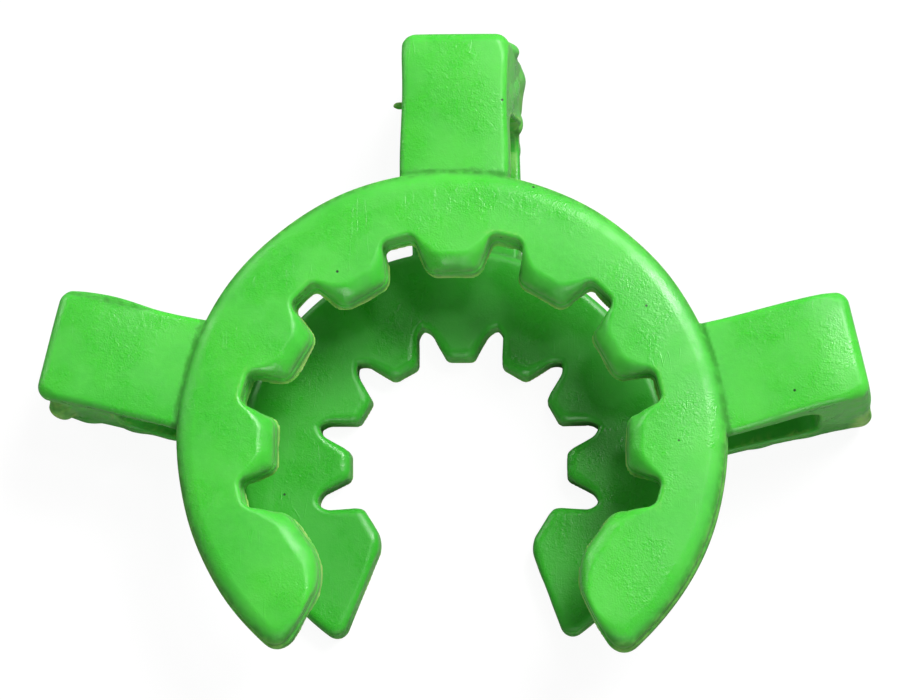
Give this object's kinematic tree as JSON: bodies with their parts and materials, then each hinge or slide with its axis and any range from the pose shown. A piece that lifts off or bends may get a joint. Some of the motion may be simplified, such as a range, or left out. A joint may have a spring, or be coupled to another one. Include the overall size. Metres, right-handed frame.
{
  "type": "ground glass joint clip",
  "caption": "Springy moulded plastic clip: a wide and a narrow toothed C-ring joined by hairpin bows, which snaps over a tapered ground glass joint and holds it together.",
  "frame": {"origin": "on the axis of the rings, at the back face of the tube ring, which the clip rests on", "axes": "+Z along the joint's axis from the tube ring to the socket ring, -Y out of the mouths, +X across the side bows"},
  "size_m": [0.0676, 0.0511, 0.0125],
  "materials": {
    "clip_plastic": "moulded, soft satin gloss"
  },
  "bodies": {
    "root": {"clip": "clip_plastic"}
  },
  "joints": []
}
